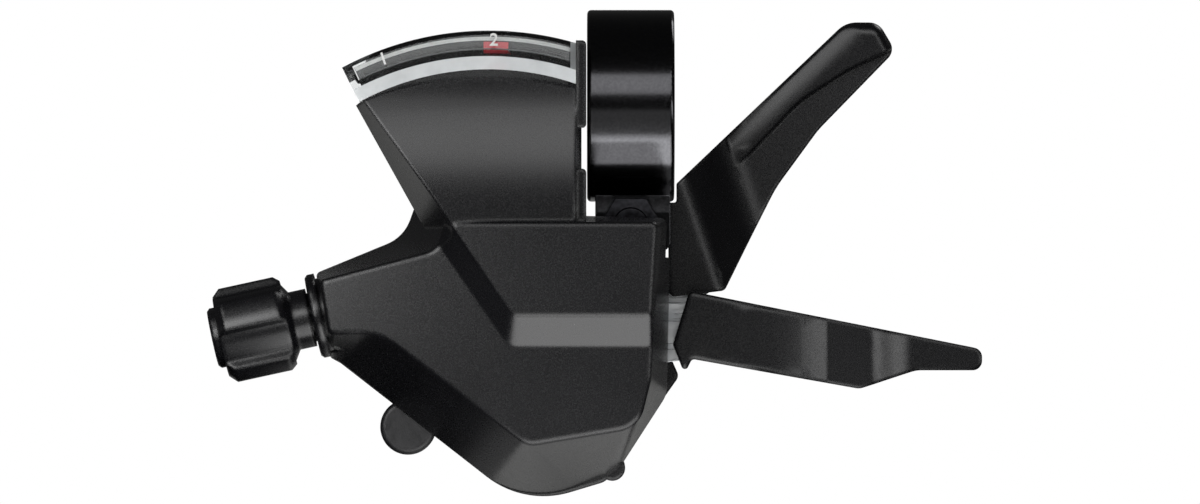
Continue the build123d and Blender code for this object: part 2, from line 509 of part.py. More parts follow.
def pawls():
    """The pawl that holds the wheel and the pawl that feeds it, with their pins and springs."""
    hold, feed = hold_pivot(), feed_pivot()
    level = (RATCHET[0] + 0.1, RATCHET[1] - 0.1)
    low = (RELEASE_PLATE[1] + PLAY, RATCHET[0] - 0.5)
    nose = about(MAIN_AXLE, RATCHET_TIP + 0.95, 210)
    eye = post(hold, 2.2, low[0], level[1])
    pawl = eye + slab(arm(hold, 2.0, nose, 0.7), *level)
    pawl += slab(arm(hold, 1.6, (hold[0] + 6.2, hold[1] + 0.2), 0.7), *low)
    pawl -= post(hold, PIN_R + RUN, -20, 20)
    feed_nose = about(MAIN_AXLE, RATCHET_TIP + 2.2, 112)
    feeder = slab(arm(feed, 2.0, feed_nose, 0.7), *level) - post(feed, PIN_R + RUN, -20, 20)
    return {
        "hold_pawl": pawl,
        "hold_pawl_pin": post(hold, PIN_R, BASE_PLATE[0], level[1]),
        "hold_pawl_spring": coil(hold, BASE_PLATE[1] + SLIDE, PAWL_COIL, 200),
        "feed_pawl": feeder,
        "feed_pawl_pin": post(feed, PIN_R, LEVER_PLATE[0], level[1]),
        "feed_pawl_spring": coil(feed, RATCHET[0] - 1.8, PAWL_COIL, 60),
    }


def needle():
    """A marker needle: a slotted arm that the reel's pin drives, and a flag under the lens."""
    reach = hypot(MAIN_AXLE[0] - NEEDLE_PIVOT[0], MAIN_AXLE[1] - NEEDLE_PIVOT[1])
    ends = [about(MAIN_AXLE, reach, DRIVE_PIN_AT + turn) for turn in (0, INDEX)]
    long, short = (hypot(x - NEEDLE_PIVOT[0], z - NEEDLE_PIVOT[1]) for x, z in ends)
    bearing = degrees(atan2(ends[0][1] - NEEDLE_PIVOT[1], ends[0][0] - NEEDLE_PIVOT[0]))
    way = DRIVE_PIN_R + SLIDE
    tail = arm(NEEDLE_PIVOT, 2.4, about(NEEDLE_PIVOT, long + 0.8, bearing), way + 1.0)
    slot = arm(about(NEEDLE_PIVOT, short - 0.6, bearing), way,
               about(NEEDLE_PIVOT, long + 0.6, bearing), way)
    elbow = about(NEEDLE_PIVOT, NEEDLE_ELBOW[0], 90 - NEEDLE_AT - NEEDLE_ELBOW[1])
    stalk = arm(NEEDLE_PIVOT, 2.4, elbow, 1.2)
    stalk += arm(elbow, 1.2, about(NEEDLE_PIVOT, WINDOW_R - 1.6, 90 - NEEDLE_AT), 1.0)
    body = slab(tail + stalk - slot, *NEEDLE_ARM)
    front = dial_front() - 0.3
    back = NEEDLE_ARM[1] + 0.5
    flag = around_needle([(WINDOW_R - 2.6, NEEDLE_ARM[0]), (WINDOW_R - 2.6, front), (dial_r(front), front),
                          (dial_r(back), back), (WINDOW_R + 0.4, back), (WINDOW_R + 0.4, NEEDLE_ARM[0])],
                         NEEDLE_AT - FLAG_HALF, NEEDLE_AT + FLAG_HALF)
    return body + flag - post(NEEDLE_PIVOT, NEEDLE_PIN_R + RUN, 0, 20)


def roof_r(depth):
    """Inner radius of the sloping lens at a depth."""
    slope = (LENS_RISE - LENS_LIP) / (LENS_FRONT - LENS_BACK)
    return WINDOW_R + LENS_LIP - LENS_WALL + (LENS_FRONT - depth) * slope


def dial_r(depth):
    """Face of the dial, a little under the lens."""
    return roof_r(depth) - PLAY


def dial_front():
    """Front edge of the dial, behind the tower's wall and the lens's lip at the top of the window."""
    high = NEEDLE_PIVOT[1] + WINDOW_R - TOWER_CREST
    wall = TOWER_FRONT - TOWER_BOW + sqrt((TOWER_BOW - TOWER_WALL) ** 2 - high ** 2)
    return min(wall, LENS_FRONT - LENS_EDGE) - DIAL_GAP


def window():
    """The clear lens, the dial under it, the plate behind, and the needle's pin and clip."""
    outside = [(WINDOW_R, LENS_FRONT), (WINDOW_R + LENS_LIP, LENS_FRONT), (LENS_BACK_R, LENS_BACK)]
    inner = LENS_FRONT - LENS_EDGE
    lens = around_needle([*outside, (roof_r(LENS_BACK), LENS_BACK), (roof_r(inner), inner),
                          (WINDOW_R, inner)], WINDOW_LEFT, 22)
    lens += around_needle([*outside, (WINDOW_R, LENS_BACK)], WINDOW_LEFT, WINDOW_LEFT + 1.8)
    front, back = dial_front(), LENS_BACK
    dial = around_needle([(dial_r(front), front), (dial_r(back), back), (dial_r(back) - 0.9, back),
                          (dial_r(front) - 0.9, front)], WINDOW_LEFT + 2.0, 22)
    gap = (NEEDLE_ARM[1] + 0.2, front - 0.3)
    dial -= around_needle([(30, gap[0]), (60, gap[0]), (60, gap[1]), (30, gap[1])],
                          WINDOW_LEFT + 3.2, 15)
    inside = block(-80, TOWER_SIDE - TOWER_WALL / 2, -60, 40, 0, 40)
    back = cover_shape(1)[1] & block(-80, TOWER_SIDE - TOWER_WALL, -14.0, 40, TOWER_BACK, LENS_BACK)
    back &= post(NEEDLE_PIVOT, LENS_BACK_R, 0, 40)
    ring = Circle(NEEDLE_PIN_R + 0.9) - Circle(NEEDLE_PIN_R)
    clip = slab(Pos(*NEEDLE_PIVOT) * ring, NEEDLE_ARM[0] - 0.6, NEEDLE_ARM[0] - 0.1)
    pin = post(NEEDLE_PIVOT, NEEDLE_PIN_R, NEEDLE_ARM[0] - 0.9, NEEDLE_ARM[1] + PLAY + NEEDLE_PIN_SINK)
    return {"indicator_lens": lens & inside, "indicator_dial": dial & inside, "indicator_back": back,
            "indicator_needle": needle(), "needle_clip": clip, "needle_pin": pin}


def lever_line():
    """The thumb lever's own frame: X across its crank, Y away from the viewer."""
    a = radians(LEVER_LEAN)
    return Plane(origin=(LEVER_ROOT[0], 0, LEVER_ROOT[1]), x_dir=(cos(a), 0, sin(a)),
                 z_dir=(-sin(a), 0, cos(a)))


def lever_side(points):
    """A side profile of the thumb lever, across its whole width."""
    flat = cornered([(u, -depth, r) for u, depth, r in points])
    return extrude(lever_line() * flat, 60, both=True)


def main_lever_set():
    """The thumb lever moulded on a steel plate that turns on the rear bush."""
    web = slab(cornered(LEVER_WEB), -30, 0) & lever_side(WEB_SIDE)
    pad = slab(cornered(LEVER_PAD), -30, PAD_FRONT)
    pad = fillet(pad.edges().group_by(Axis.Y)[0].sort_by(SortBy.LENGTH)[-1:], PAD_CROWN)
    pad = fillet(pad.faces().sort_by(Axis.Y)[0].edges().sort_by(SortBy.LENGTH)[-2:-1], PAD_RIDGE)
    lever = web + (pad & lever_side(PAD_SIDE))
    lever -= post(MAIN_AXLE, HOUSING_REACH, -30, LEVER_PLATE[0] - PLAY)
    plate = slab(Pos(*MAIN_AXLE) * Circle(MAIN_HUB_R) + arm(MAIN_AXLE, 6.0, LEVER_RIVETS[1], 2.0)
                 + arm(MAIN_AXLE, 5.0, feed_pivot(), 2.3), *LEVER_PLATE)
    plate -= post(MAIN_AXLE, BUSH_R + RUN, -20, 0)
    plate -= post(feed_pivot(), PIN_R, -20, 0)
    lever -= plate
    rivets = []
    for at in LEVER_RIVETS:
        plate -= post(at, PIN_R, -20, 0)
        lever -= post(at, PIN_R, -20, LEVER_PLATE[1])
        rivets.append(post(at, PIN_R, LEVER_PLATE[0] - 0.3, LEVER_PLATE[1]))
    spring = coil(MAIN_AXLE, LEVER_PLATE[1] + SLIDE, LEVER_COIL, 250)
    return {"main_lever": lever, "main_lever_plate": plate, "main_lever_rivets": Compound(rivets),
            "main_lever_spring": spring}


def release_set():
    """The finger lever riveted to a steel arm that lifts the holding pawl."""
    plan = cornered([(x, -depth, r) for x, depth, r in RELEASE_SIDE])
    pad = slab(cornered(RELEASE), -12, 8) & extrude(Plane.XY * plan, 60, both=True)
    bar = slab(cornered(RELEASE_ARM), RELEASE_PLATE[1], RELEASE_FRONT)
    bar = fillet(bar.edges().group_by(Axis.Y)[0], RELEASE_EDGE)
    end = RELEASE_ARM[5][0] + 0.4
    turn = cornered([(0, -20.0, 0), (end, -20.0, 0), (end, RELEASE_FRONT, RELEASE_END),
                     (0, RELEASE_FRONT, 0)])
    lever = pad + (bar & extrude(Plane.XY * mirror(turn, Plane.XZ), 60, both=True))
    tail_top = hold_pivot()[1] + 0.9
    finger = block(hold_pivot()[0] + 5.4, hold_pivot()[0] + 6.8, tail_top + PLAY, tail_top + PLAY + 1.6,
                   RELEASE_PLATE[1], RATCHET[0] - 0.6)
    plate = slab(Pos(*MAIN_AXLE) * Circle(RELEASE_HUB_R) + arm(MAIN_AXLE, 5.6, RELEASE_RIVETS[1], 3.2)
                 + arm(MAIN_AXLE, 3.0, (hold_pivot()[0] + 6.1, tail_top + PLAY + 0.8), 1.1), *RELEASE_PLATE)
    plate += finger
    plate -= post(MAIN_AXLE, BUSH_R + RUN, -20, 20)
    rivets = []
    for at in RELEASE_RIVETS:
        plate -= post(at, PIN_R, -20, 20)
        lever -= post(at, PIN_R, -20, RIVET_TOP)
        rivets.append(post(at, PIN_R, RELEASE_PLATE[0] - 0.3, RIVET_TOP))
    spring = coil(MAIN_AXLE, RELEASE_PLATE[1] + SLIDE, RELEASE_COIL, 100)
    return {"release_lever": lever, "release_arm": plate, "release_rivets": Compound(rivets),
            "release_spring": spring}


def small_parts():
    """Cover screws and the plug of the cable port."""
    screws = []
    for at in SCREWS:
        screw = post(at, SCREW_R, REAR_FACE + SCREW_SINK, SCREW_TIP)
        screw += post(at, SCREW_HEAD_R, REAR_FACE - 0.4, REAR_FACE + SCREW_SINK)
        cross = Rectangle(2.0, 0.5) + Rectangle(0.5, 2.0)
        screws.append(screw - slab(Pos(*at) * cross, REAR_FACE - 1, REAR_FACE + 0.4))
    head = post(PLUG, PLUG_R, PLUG_SEAT, PLUG_SEAT + PLUG_HEAD)
    head = fillet(head.edges().group_by(Axis.Y)[0], 0.8)
    plug = head + post(PLUG, PLUG_R / 2 - SLIDE / 2, PLUG_SEAT - PLUG_STEM, PLUG_SEAT)
    return {"cover_screws": Compound(screws), "cable_port_plug": plug}


pieces = {**clamp(), **adjuster(), **axle_set(), **winding(), **pawls(), **window(), **main_lever_set(),
          **release_set(), **small_parts(), "base_plate": base_plate(), "rear_housing": rear_housing(),
          "front_cover": front_cover()}
os.makedirs("parts", exist_ok=True)
for name, shape in pieces.items():
    export_step(shape, f"parts/{name}.step")
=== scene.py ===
from math import cos, pi, radians, sin

import bmesh
import bpy
from mathutils import Matrix, Vector


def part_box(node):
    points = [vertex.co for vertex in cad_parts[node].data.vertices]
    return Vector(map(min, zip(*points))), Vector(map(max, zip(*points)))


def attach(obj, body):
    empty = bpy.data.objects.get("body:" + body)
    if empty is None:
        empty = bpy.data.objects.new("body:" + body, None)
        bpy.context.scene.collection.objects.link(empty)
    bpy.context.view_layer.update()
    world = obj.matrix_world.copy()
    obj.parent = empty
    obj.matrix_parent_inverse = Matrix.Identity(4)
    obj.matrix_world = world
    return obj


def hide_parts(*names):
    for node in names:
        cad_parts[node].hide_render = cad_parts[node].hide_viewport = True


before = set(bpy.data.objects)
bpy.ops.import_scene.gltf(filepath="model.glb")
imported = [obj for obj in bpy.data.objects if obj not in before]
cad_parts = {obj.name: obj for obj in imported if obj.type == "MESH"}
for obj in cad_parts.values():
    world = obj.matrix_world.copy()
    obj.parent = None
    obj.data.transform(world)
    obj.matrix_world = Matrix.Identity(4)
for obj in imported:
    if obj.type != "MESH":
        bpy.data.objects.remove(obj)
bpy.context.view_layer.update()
scene = bpy.context.scene
scene.view_settings.view_transform = "Standard"


# Handlebar clamp: one band with two ears, cut from an aluminium extrusion, tumbled and anodised
# black. A bolt and a nut of blackened steel draw its ears together on the base plate.
def linear(hex_colour):
    """An sRGB hex colour as the linear one that a socket takes."""
    parts = [int(hex_colour[k:k + 2], 16) / 255 for k in (1, 3, 5)]
    return (*[c / 12.92 if c <= 0.04045 else ((c + 0.055) / 1.055) ** 2.4 for c in parts], 1.0)


def add(tree, kind, sockets=None, **settings):
    """Add one node with its settings. A socket gets a link from another node, or a plain value."""
    node = tree.nodes.new(kind)
    for name, value in settings.items():
        setattr(node, name, value)
    for key, value in (sockets or {}).items():
        if isinstance(value, bpy.types.NodeSocket):
            tree.links.new(value, node.inputs[key])
        else:
            node.inputs[key].default_value = value
    return node


def start_finish(name, **constants):
    """A new material: its own tree, its shader with constant sockets set, and Object coordinates."""
    made = bpy.data.materials.new(name)
    made.use_nodes = True
    shader = made.node_tree.nodes["Principled BSDF"]
    for key, value in constants.items():
        shader.inputs[key.replace("_", " ")].default_value = value
    place = add(made.node_tree, "ShaderNodeTexCoord").outputs["Object"]
    return made, made.node_tree, shader, place


def per(millimetres):
    """Scale of a noise whose grains are this far apart."""
    return 1000 / millimetres


NOISE_LOW, NOISE_HIGH = 0.35, 0.65      # most of a noise's values lie between these


def tones(tree, shader, source, dark, light):
    """Spread two close tones over the surface."""
    ramp = add(tree, "ShaderNodeValToRGB", {"Fac": source})
    ramp.color_ramp.elements[0].position, ramp.color_ramp.elements[1].position = NOISE_LOW, NOISE_HIGH
    ramp.color_ramp.elements[0].color, ramp.color_ramp.elements[1].color = linear(dark), linear(light)
    tree.links.new(ramp.outputs["Color"], shader.inputs["Base Color"])


def gloss(tree, shader, source, low, high):
    """Let the roughness wander between two values."""
    spread = add(tree, "ShaderNodeMapRange", {"Value": source, "From Min": NOISE_LOW, "From Max": NOISE_HIGH,
                                              "To Min": low, "To Max": high})
    tree.links.new(spread.outputs["Result"], shader.inputs["Roughness"])


def relief(tree, shader, source, height, strength, edge):
    """Raise the pattern by a height, over edges shaded as round by a radius, both in millimetres."""
    rounded = add(tree, "ShaderNodeBevel", {"Radius": edge / 1000}, samples=6)
    bump = add(tree, "ShaderNodeBump", {"Height": source, "Distance": height / 1000, "Strength": strength,
                                        "Normal": rounded.outputs[0]})
    tree.links.new(bump.outputs["Normal"], shader.inputs["Normal"])


def wear(made, *nodes):
    """Give CAD nodes their finish."""
    for node in nodes:
        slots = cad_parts[node].data.materials
        slots.clear()
        slots.append(made)


SMOOTH_BELOW = radians(33)      # edges that bend less are shaded as one round face
FLAT_BELOW = radians(0.5)       # facets that bend less are joined into one flat
ROUND_ABOVE = radians(28)       # edges that bend more are rounded
JOIN_WITHIN = 1e-6              # points that are closer, in metres, are one point

SMOOTH = bpy.data.node_groups.new("smooth_below_an_angle", "GeometryNodeTree")
SMOOTH.interface.new_socket("Geometry", in_out="INPUT", socket_type="NodeSocketGeometry")
SMOOTH.interface.new_socket("Geometry", in_out="OUTPUT", socket_type="NodeSocketGeometry")
begin = add(SMOOTH, "NodeGroupInput")
bare = add(SMOOTH, "GeometryNodeRemoveAttribute", {"Geometry": begin.outputs[0], "Name": "custom_normal"})
faces = add(SMOOTH, "GeometryNodeSetShadeSmooth", {"Geometry": bare.outputs[0], "Shade Smooth": True})
bend = add(SMOOTH, "GeometryNodeInputMeshEdgeAngle")
gentle = add(SMOOTH, "FunctionNodeCompare", {"A": bend.outputs["Unsigned Angle"], "B": SMOOTH_BELOW},
             operation="LESS_THAN", data_type="FLOAT")
edges = add(SMOOTH, "GeometryNodeSetShadeSmooth",
            {"Geometry": faces.outputs[0], "Shade Smooth": gentle.outputs["Result"]}, domain="EDGE")
add(SMOOTH, "NodeGroupOutput", {0: edges.outputs[0]})


def soften(width, *nodes):
    """Round the sharp edges of CAD nodes by a real width in millimetres, with flats kept flat."""
    for node in nodes:
        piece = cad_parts[node]
        piece.modifiers.new("join", "WELD").merge_threshold = JOIN_WITHIN
        flats = piece.modifiers.new("flats", "DECIMATE")
        flats.decimate_type, flats.angle_limit = "DISSOLVE", FLAT_BELOW
        rounding = piece.modifiers.new("edges", "BEVEL")
        rounding.width, rounding.segments = width / 1000, 3
        rounding.limit_method, rounding.angle_limit = "ANGLE", ROUND_ABOVE
        piece.modifiers.new("shading", "NODES").node_group = SMOOTH
        even = piece.modifiers.new("flat_shading", "WEIGHTED_NORMAL")
        even.keep_sharp = True


# Anodised aluminium: a satin black skin, with faint tumbling grain that breaks its highlights up.
anodised, tree, shader, place = start_finish("black_anodised_aluminium", Metallic=1.0)
grain = add(tree, "ShaderNodeTexNoise", {"Vector": place, "Scale": per(0.35), "Detail": 3.0})
tones(tree, shader, grain.outputs["Fac"], "#3a3a3c", "#434345")
gloss(tree, shader, grain.outputs["Fac"], 0.15, 0.19)
relief(tree, shader, grain.outputs["Fac"], 0.002, 0.2, 0.2)
wear(anodised, "clamp_band")

# Blackened steel: an oiled oxide skin, darker in its pores.
blackened, tree, shader, place = start_finish("black_oxide_steel", Metallic=1.0)
pores = add(tree, "ShaderNodeTexNoise", {"Vector": place, "Scale": per(0.6), "Detail": 4.0})
tones(tree, shader, pores.outputs["Fac"], "#1c1c1e", "#2c2c2f")
gloss(tree, shader, pores.outputs["Fac"], 0.30, 0.45)
wear(blackened, "clamp_bolt", "clamp_nut")
soften(0.2, "clamp_bolt", "clamp_nut")


# Base plate: stamped from zinc-plated steel sheet, held between the two shells and by the band's
# ears. The thumb lever's plate and the finger lever's arm are stamped from the same sheet.
plated, tree, shader, place = start_finish("zinc_plated_steel_sheet", Metallic=1.0)
# Zinc shows a pale spangle, and the sheet's rolling lines run along X.
along = add(tree, "ShaderNodeMapping", {"Vector": place, "Scale": (0.06, 1.0, 1.0)})
rolled = add(tree, "ShaderNodeTexNoise", {"Vector": along.outputs[0], "Scale": per(0.3), "Detail": 2.0})
spangle = add(tree, "ShaderNodeTexVoronoi", {"Vector": place, "Scale": per(2.5)})
tones(tree, shader, spangle.outputs["Distance"], "#b4b7ba", "#d3d5d6")
gloss(tree, shader, rolled.outputs["Fac"], 0.26, 0.42)
relief(tree, shader, rolled.outputs["Fac"], 0.01, 0.35, 0.1)
wear(plated, "base_plate", "main_lever_plate", "release_arm")
soften(0.12, "base_plate", "main_lever_plate", "release_arm")


# Rear housing: an open shell moulded in black glass-filled nylon, which takes the base plate on its
# bosses. The plate behind the gear window and the front cover are the same nylon.
moulded, tree, shader, place = start_finish("black_nylon_spark_grain", Specular_IOR_Level=0.5)
# The mould's spark-eroded skin gives the nylon a fine, even grain. Its real 0.05 mm pits are too
# fine to show, so they are drawn at 0.22 mm.
grain = add(tree, "ShaderNodeTexNoise", {"Vector": place, "Scale": per(0.22), "Detail": 2.0})
flow = add(tree, "ShaderNodeTexNoise", {"Vector": place, "Scale": per(14.0), "Detail": 2.0})
tones(tree, shader, flow.outputs["Fac"], "#08080a", "#0d0d0f")
gloss(tree, shader, grain.outputs["Fac"], 0.23, 0.29)
relief(tree, shader, grain.outputs["Fac"], 0.004, 0.1, 0.8)
wear(moulded, "rear_housing", "indicator_back")


# Main axle: a headed pin turned from bright steel, through the whole stack, with a spring cap, a
# washer and a nut. It stands still, and what turns about it runs on two bronze bushes.
turned, tree, shader, place = start_finish("nickel_plated_steel_turned", Metallic=1.0)
# Nickel is bright and warm, with a fine, even grain in its tone and its gloss.
grain = add(tree, "ShaderNodeTexNoise", {"Vector": place, "Scale": per(0.25), "Detail": 3.0})
tones(tree, shader, grain.outputs["Fac"], "#c2c0bb", "#d9d7d2")
gloss(tree, shader, grain.outputs["Fac"], 0.18, 0.30)
wear(turned, "main_axle", "axle_nut", "axle_washer", "spring_cap", "hold_pawl_pin", "feed_pawl_pin",
     "needle_pin", "needle_clip", "main_lever_rivets", "release_rivets")
soften(0.15, "main_axle", "axle_nut", "axle_washer", "spring_cap")

bronze, tree, shader, place = start_finish("sintered_bronze", Metallic=1.0)
# Sintered bronze is grainy and matt, with oil in its pores.
pores = add(tree, "ShaderNodeTexVoronoi", {"Vector": place, "Scale": per(0.3)})
tones(tree, shader, pores.outputs["Distance"], "#8a6437", "#b58a55")
gloss(tree, shader, pores.outputs["Distance"], 0.38, 0.55)
relief(tree, shader, pores.outputs["Distance"], 0.02, 0.4, 0.1)
wear(bronze, "rear_bush", "front_bush")


# Cable reel: moulded in pale acetal, with the pin that drives the needle. Its ratchet wheel and the
# two pawls are blanked from tool steel and hardened.
acetal, tree, shader, place = start_finish("natural_acetal", Subsurface_Weight=0.12)
# Acetal is waxy and slightly see-through, with a low sheen.
cloud = add(tree, "ShaderNodeTexNoise", {"Vector": place, "Scale": per(3.0), "Detail": 2.0})
tones(tree, shader, cloud.outputs["Fac"], "#d9d7ce", "#e4e2da")
gloss(tree, shader, cloud.outputs["Fac"], 0.34, 0.44)
wear(acetal, "cable_reel", "detent_ring")
soften(0.12, "cable_reel")

hardened, tree, shader, place = start_finish("hardened_tool_steel", Metallic=1.0)
# Hardening leaves a dull grey skin with brown and blue tints.
tint = add(tree, "ShaderNodeTexNoise", {"Vector": place, "Scale": per(4.0), "Detail": 3.0})
tones(tree, shader, tint.outputs["Fac"], "#7c7670", "#8d9099")
gloss(tree, shader, tint.outputs["Fac"], 0.32, 0.46)
wear(hardened, "ratchet_wheel", "hold_pawl", "feed_pawl")
soften(0.1, "ratchet_wheel", "hold_pawl", "feed_pawl")


# Springs: wound from round spring-steel wire. The CAD keeps square wire of the same thickness, so each
# is replaced by a round one on the same line, with its two legs where the spring has them.
wire_steel, tree, shader, place = start_finish("drawn_spring_steel", Metallic=1.0)
# Drawn wire is bright, with a fine mottle from the trace of oil on it.
drawn = add(tree, "ShaderNodeTexNoise", {"Vector": place, "Scale": per(0.2), "Detail": 2.0})
tones(tree, shader, drawn.outputs["Fac"], "#8f9295", "#b9bbbd")
gloss(tree, shader, drawn.outputs["Fac"], 0.22, 0.34)

WIRE_POINTS, WIRE_SIDES = 160, 12
SPRING = bpy.data.node_groups.new("wound_spring", "GeometryNodeTree")
for size in ("Radius", "Wire", "Turns", "Pitch", "Leg"):
    SPRING.interface.new_socket(size, in_out="INPUT", socket_type="NodeSocketFloat")
SPRING.interface.new_socket("Finish", in_out="INPUT", socket_type="NodeSocketMaterial")
SPRING.interface.new_socket("Geometry", in_out="OUTPUT", socket_type="NodeSocketGeometry")
sizes = add(SPRING, "NodeGroupInput").outputs


def maths(tree, operation, first, second=0.0):
    """One step of a formula."""
    return add(tree, "ShaderNodeMath", {0: first, 1: second}, operation=operation).outputs[0]


wound = maths(SPRING, "MULTIPLY", maths(SPRING, "MULTIPLY", sizes["Turns"], 2 * pi), sizes["Radius"])
whole = maths(SPRING, "ADD", wound, maths(SPRING, "MULTIPLY", sizes["Leg"], 2.0))
line = add(SPRING, "GeometryNodeCurvePrimitiveLine")
points = add(SPRING, "GeometryNodeResampleCurve", {"Curve": line.outputs[0], "Count": WIRE_POINTS})
part = add(SPRING, "GeometryNodeSplineParameter").outputs["Factor"]
run = maths(SPRING, "SUBTRACT", maths(SPRING, "MULTIPLY", part, whole), sizes["Leg"])
held = maths(SPRING, "MINIMUM", maths(SPRING, "MAXIMUM", run, 0.0), wound)
over = maths(SPRING, "SUBTRACT", run, held)
angle = maths(SPRING, "DIVIDE", held, sizes["Radius"])
cosine, sine = maths(SPRING, "COSINE", angle), maths(SPRING, "SINE", angle)
x = maths(SPRING, "SUBTRACT", maths(SPRING, "MULTIPLY", sizes["Radius"], cosine),
          maths(SPRING, "MULTIPLY", over, sine))
y = maths(SPRING, "ADD", maths(SPRING, "MULTIPLY", sizes["Radius"], sine),
          maths(SPRING, "MULTIPLY", over, cosine))
z = maths(SPRING, "MULTIPLY", maths(SPRING, "DIVIDE", angle, 2 * pi), sizes["Pitch"])
spot = add(SPRING, "ShaderNodeCombineXYZ", {"X": x, "Y": y, "Z": z})
laid = add(SPRING, "GeometryNodeSetPosition", {"Geometry": points.outputs[0], "Position": spot.outputs[0]})
section = add(SPRING, "GeometryNodeCurvePrimitiveCircle",
              {"Resolution": WIRE_SIDES, "Radius": maths(SPRING, "DIVIDE", sizes["Wire"], 2.0)})
tube = add(SPRING, "GeometryNodeCurveToMesh", {"Curve": laid.outputs[0], "Profile Curve": section.outputs[0],
                                               "Fill Caps": True})
smooth = add(SPRING, "GeometryNodeSetShadeSmooth", {"Geometry": tube.outputs[0], "Shade Smooth": True})
real = add(SPRING, "GeometryNodeRealizeInstances", {0: smooth.outputs[0]})
dressed = add(SPRING, "GeometryNodeSetMaterial", {"Geometry": real.outputs[0], "Material": sizes["Finish"]})
add(SPRING, "NodeGroupOutput", {0: dressed.outputs[0]})


def plain_mesh(maker):
    """Turn an object that is a text, or that has live modifiers, into a plain mesh."""
    scene.collection.objects.link(maker)
    mesh = bpy.data.meshes.new_from_object(maker.evaluated_get(bpy.context.evaluated_depsgraph_get()))
    bpy.data.objects.remove(maker)
    return mesh


def wind(node, body, placing, **lengths):
    """Wind one spring from its sizes in millimetres and let it stand for its CAD node."""
    maker = bpy.data.objects.new(node + "_maker", bpy.data.meshes.new(node))
    winder = maker.modifiers.new("spring", "NODES")
    winder.node_group = SPRING
    for socket in SPRING.interface.items_tree:
        if socket.in_out == "INPUT":
            value = wire_steel if socket.name == "Finish" else lengths[socket.name.lower()]
            length = socket.name not in ("Finish", "Turns")
            winder[socket.identifier] = value / 1000 if length else value
    mesh = plain_mesh(maker)
    mesh.transform(placing)
    piece = bpy.data.objects.new(node + "_wire", mesh)
    scene.collection.objects.link(piece)
    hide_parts(node)
    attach(piece, body)


def middle(node):
    """Middle of a CAD node's box."""
    low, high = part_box(node)
    return (Vector(low) + Vector(high)) / 2


FACING = Matrix(((1, 0, 0, 0), (0, 0, -1, 0), (0, 1, 0, 0), (0, 0, 0, 1)))  # Z towards the viewer
# Each spring's node, body and pin, its turn in degrees and the depth of its back in front of the frame's
# origin, then its coil's radius, its wire, its turns, their pitch and its legs.
for node, body, pin, turn, back, lengths in (
        ("reel_spring", "shifter", "main_axle", 0, 8.4, (6.9, 0.9, 1.6, 1.0, 0.0)),
        ("hold_pawl_spring", "shifter", "hold_pawl_pin", 200, -0.9, (1.75, 0.5, 2.0, 0.6, 1.9)),
        ("feed_pawl_spring", "main_lever", "feed_pawl_pin", 60, 2.0, (1.75, 0.5, 2.0, 0.6, 1.9)),
        ("main_lever_spring", "shifter", "main_axle", 250, -5.5, (6.2, 0.8, 1.75, 0.9, 6.8)),
        ("release_spring", "shifter", "main_axle", 100, 1.3, (5.5, 0.8, 1.4, 0.85, 6.0))):
    radius, wire, turns, pitch, leg = lengths
    seat = Vector((middle(pin).x, -(back + wire / 2) / 1000, middle(pin).z))
    wind(node, body, Matrix.Translation(seat) @ FACING @ Matrix.Rotation(radians(turn), 4, "Z"),
         radius=radius, wire=wire, turns=turns, pitch=pitch, leg=leg)


# Gear needle: one moulding of red ABS that the reel's pin swings, with its flag under the window. The
# dial is a dark grey strip with a white line printed on it, and the figures are printed on the lens.
red, tree, shader, place = start_finish("red_abs_moulded", Specular_IOR_Level=0.4)
# ABS is almost evenly coloured, with a slight, cloudy change in its gloss.
cloud = add(tree, "ShaderNodeTexNoise", {"Vector": place, "Scale": per(2.5), "Detail": 2.0})
tones(tree, shader, cloud.outputs["Fac"], "#e02632", "#ec3c48")
gloss(tree, shader, cloud.outputs["Fac"], 0.35, 0.45)
wear(red, "indicator_needle")

strip, tree, shader, place = start_finish("grey_abs_dial")
# The strip is matt, with a fine grain that keeps glare down under the lens.
grain = add(tree, "ShaderNodeTexNoise", {"Vector": place, "Scale": per(0.2), "Detail": 2.0})
tones(tree, shader, grain.outputs["Fac"], "#262629", "#2e2e31")
gloss(tree, shader, grain.outputs["Fac"], 0.5, 0.6)
wear(strip, "indicator_dial")

ink, tree, shader, place = start_finish("white_pad_print")
# Pad-printed ink is matt and a little uneven in its cover.
cover = add(tree, "ShaderNodeTexNoise", {"Vector": place, "Scale": per(0.4), "Detail": 2.0})
tones(tree, shader, cover.outputs["Fac"], "#ececea", "#fafaf8")
gloss(tree, shader, cover.outputs["Fac"], 0.5, 0.6)

PIVOT = middle("needle_pin")
WINDOW_R, WINDOW_BACK_R = 39.4, 45.2     # seat of the lens and its back edge, about the pivot
LENS_FRONT, LENS_BACK = 20.9, 12.5       # depths of its front lip and of its back edge
LENS_LIP, LENS_WALL = 1.9, 1.3           # height of its front lip, and its wall behind it
LENS_END = -8.8                          # where its right end begins, along X
DIAL_PLAY = 0.3                          # between the lens's wall and the dial
SLOPE = (WINDOW_BACK_R - WINDOW_R - LENS_LIP) / (LENS_FRONT - LENS_BACK)
LINE_DEPTHS = (12.7, 13.9)               # of the white line along the dial's upper edge
LINE_ENDS, LINE_STEPS = (-26.2, 17.5), 60    # bearings of its ends, and its segments
INK = (0.02, 0.05)                       # underside and face of the line's ink above the dial


def about_pivot(radius, bearing, depth):
    """A point at a radius and a bearing from up about the needle's pivot, in millimetres."""
    angle = radians(bearing)
    return Vector((PIVOT.x + radius * sin(angle) / 1000, -depth / 1000,
                   PIVOT.z + radius * cos(angle) / 1000))


def dial_r(depth):
    """Radius of the dial's face, which follows the lens's slope just under its wall."""
    return WINDOW_R + LENS_LIP - LENS_WALL - DIAL_PLAY + (LENS_FRONT - depth) * SLOPE


